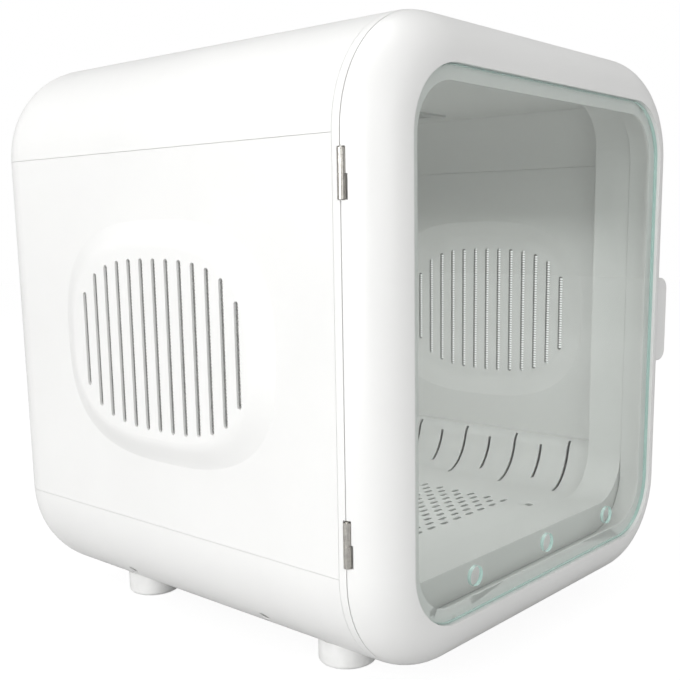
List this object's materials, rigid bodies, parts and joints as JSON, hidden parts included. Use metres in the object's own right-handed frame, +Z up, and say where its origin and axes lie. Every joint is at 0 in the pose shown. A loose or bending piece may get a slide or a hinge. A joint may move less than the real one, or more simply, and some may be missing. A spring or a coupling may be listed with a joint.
{
  "type": "uv sterilizer cabinet",
  "caption": "Rounded countertop cabinet with a hinged glass door, side air grilles, perforated floor, warm-air unit and UV ceiling lamp.",
  "frame": {"origin": "on the surface the feet stand on, under the middle of the case's width and depth", "axes": "+Z up, -Y out of the front, where the glass door is, +X to the right as seen from the front"},
  "size_m": [0.4607, 0.471, 0.502],
  "materials": {
    "case_white": "satin moulded ABS, white",
    "door_white": "satin moulded ABS, white",
    "liner_white": "fine textured moulded lining",
    "toughened_glass": "clear with green edges",
    "seal_grey": "soft silicone",
    "foot_rubber": "matte moulded",
    "hinge_nickel": "nickel plated",
    "screw_steel": "zinc plated",
    "screen_mesh": "perforated sheet",
    "magnet_black": "bonded magnet",
    "fan_black": "moulded",
    "motor_alloy": "cast",
    "heater_frame_plastic": "heat resistant, natural",
    "heater_fin_alloy": "folded fins",
    "intake_plastic": "moulded",
    "filter_foam": "open foam",
    "lamp_glass": "quartz",
    "lamp_holder_plastic": "moulded",
    "reflector_alloy": "bright rolled",
    "guard_steel": "powder coated",
    "circuit_board": "solder mask",
    "panel_plastic": "moulded",
    "display_glass": "smoked lens",
    "button_plastic": "moulded",
    "inlet_plastic": "moulded",
    "rocker_plastic": "moulded",
    "wire_insulation": "round flexible lead"
  },
  "bodies": {
    "cabinet": {"back_panel": "case_white", "back_panel_screws": "screw_steel", "bottom_shell": "case_white", "bottom_shell_screws": "screw_steel", "ceiling_liner": "liner_white", "control_panel": "panel_plastic", "display_board": "circuit_board", "display_lead": "wire_insulation", "display_lens": "display_glass", "fan_frame": "fan_black", "fan_lead": "wire_insulation", "fan_motor": "motor_alloy", "floor_plate": "liner_white", "floor_screws": "screw_steel", "foot_front_left": "foot_rubber", "foot_front_right": "foot_rubber", "foot_rear_left": "foot_rubber", "foot_rear_right": "foot_rubber", "foot_screws": "screw_steel", "front_frame": "case_white", "heater_element": "heater_fin_alloy", "heater_frame": "heater_frame_plastic", "hinge_lower_fixed": "hinge_nickel", "hinge_screws_frame": "screw_steel", "hinge_upper_fixed": "hinge_nickel", "intake_cover": "intake_plastic", "intake_filter": "filter_foam", "lamp_guard": "guard_steel", "lamp_holders": "lamp_holder_plastic", "lamp_lead": "wire_insulation", "lamp_reflector": "reflector_alloy", "left_cove_strip": "liner_white", "left_mesh_screen": "screen_mesh", "left_side_panel": "case_white", "mains_inlet": "inlet_plastic", "power_board": "circuit_board", "rear_bulkhead": "liner_white", "right_cove_strip": "liner_white", "right_mesh_screen": "screen_mesh", "right_side_panel": "case_white", "strike_plates": "screw_steel", "switch_frame": "inlet_plastic", "temperature_probe": "screw_steel", "top_shell": "case_white", "uv_lamp": "lamp_glass"},
    "door": {"door_shell": "door_white", "door_inner_frame": "door_white", "door_glass": "toughened_glass", "door_gasket": "seal_grey", "door_handle": "door_white", "door_magnets": "magnet_black", "hinge_lower_moving": "hinge_nickel", "hinge_upper_moving": "hinge_nickel", "hinge_screws_door": "screw_steel"},
    "fan_rotor": {"fan_impeller": "fan_black"},
    "rocker": {"switch_rocker": "rocker_plastic"},
    "button_power_cap": {"button_power": "button_plastic"},
    "button_mode_cap": {"button_mode": "button_plastic"},
    "button_minus_cap": {"button_minus": "button_plastic"},
    "button_plus_cap": {"button_plus": "button_plastic"}
  },
  "joints": [
    {"name": "door_hinge", "type": "hinge", "parent": "cabinet", "child": "door", "pos_m": [-0.2192, -0.2015, 0.262], "axis": [0, 0, -1], "range_deg": [0, 160]},
    {"name": "fan_spin", "type": "hinge", "parent": "cabinet", "child": "fan_rotor", "pos_m": [0, 0, 0.047], "axis": [0, 0, 1], "continuous": true},
    {"name": "mains_switch", "type": "hinge", "parent": "cabinet", "child": "rocker", "pos_m": [0.08, 0.2285, 0.118], "axis": [1, 0, 0], "range_deg": [0, 18]},
    {"name": "button_power_press", "type": "slide", "parent": "cabinet", "child": "button_power_cap", "axis": [0, 0, -1], "range_m": [0, 0.0008], "stiffness_N_per_m": 300, "springref_m": -0.0008},
    {"name": "button_mode_press", "type": "slide", "parent": "cabinet", "child": "button_mode_cap", "axis": [0, 0, -1], "range_m": [0, 0.0008], "stiffness_N_per_m": 300, "springref_m": -0.0008},
    {"name": "button_minus_press", "type": "slide", "parent": "cabinet", "child": "button_minus_cap", "axis": [0, 0, -1], "range_m": [0, 0.0008], "stiffness_N_per_m": 300, "springref_m": -0.0008},
    {"name": "button_plus_press", "type": "slide", "parent": "cabinet", "child": "button_plus_cap", "axis": [0, 0, -1], "range_m": [0, 0.0008], "stiffness_N_per_m": 300, "springref_m": -0.0008}
  ]
}
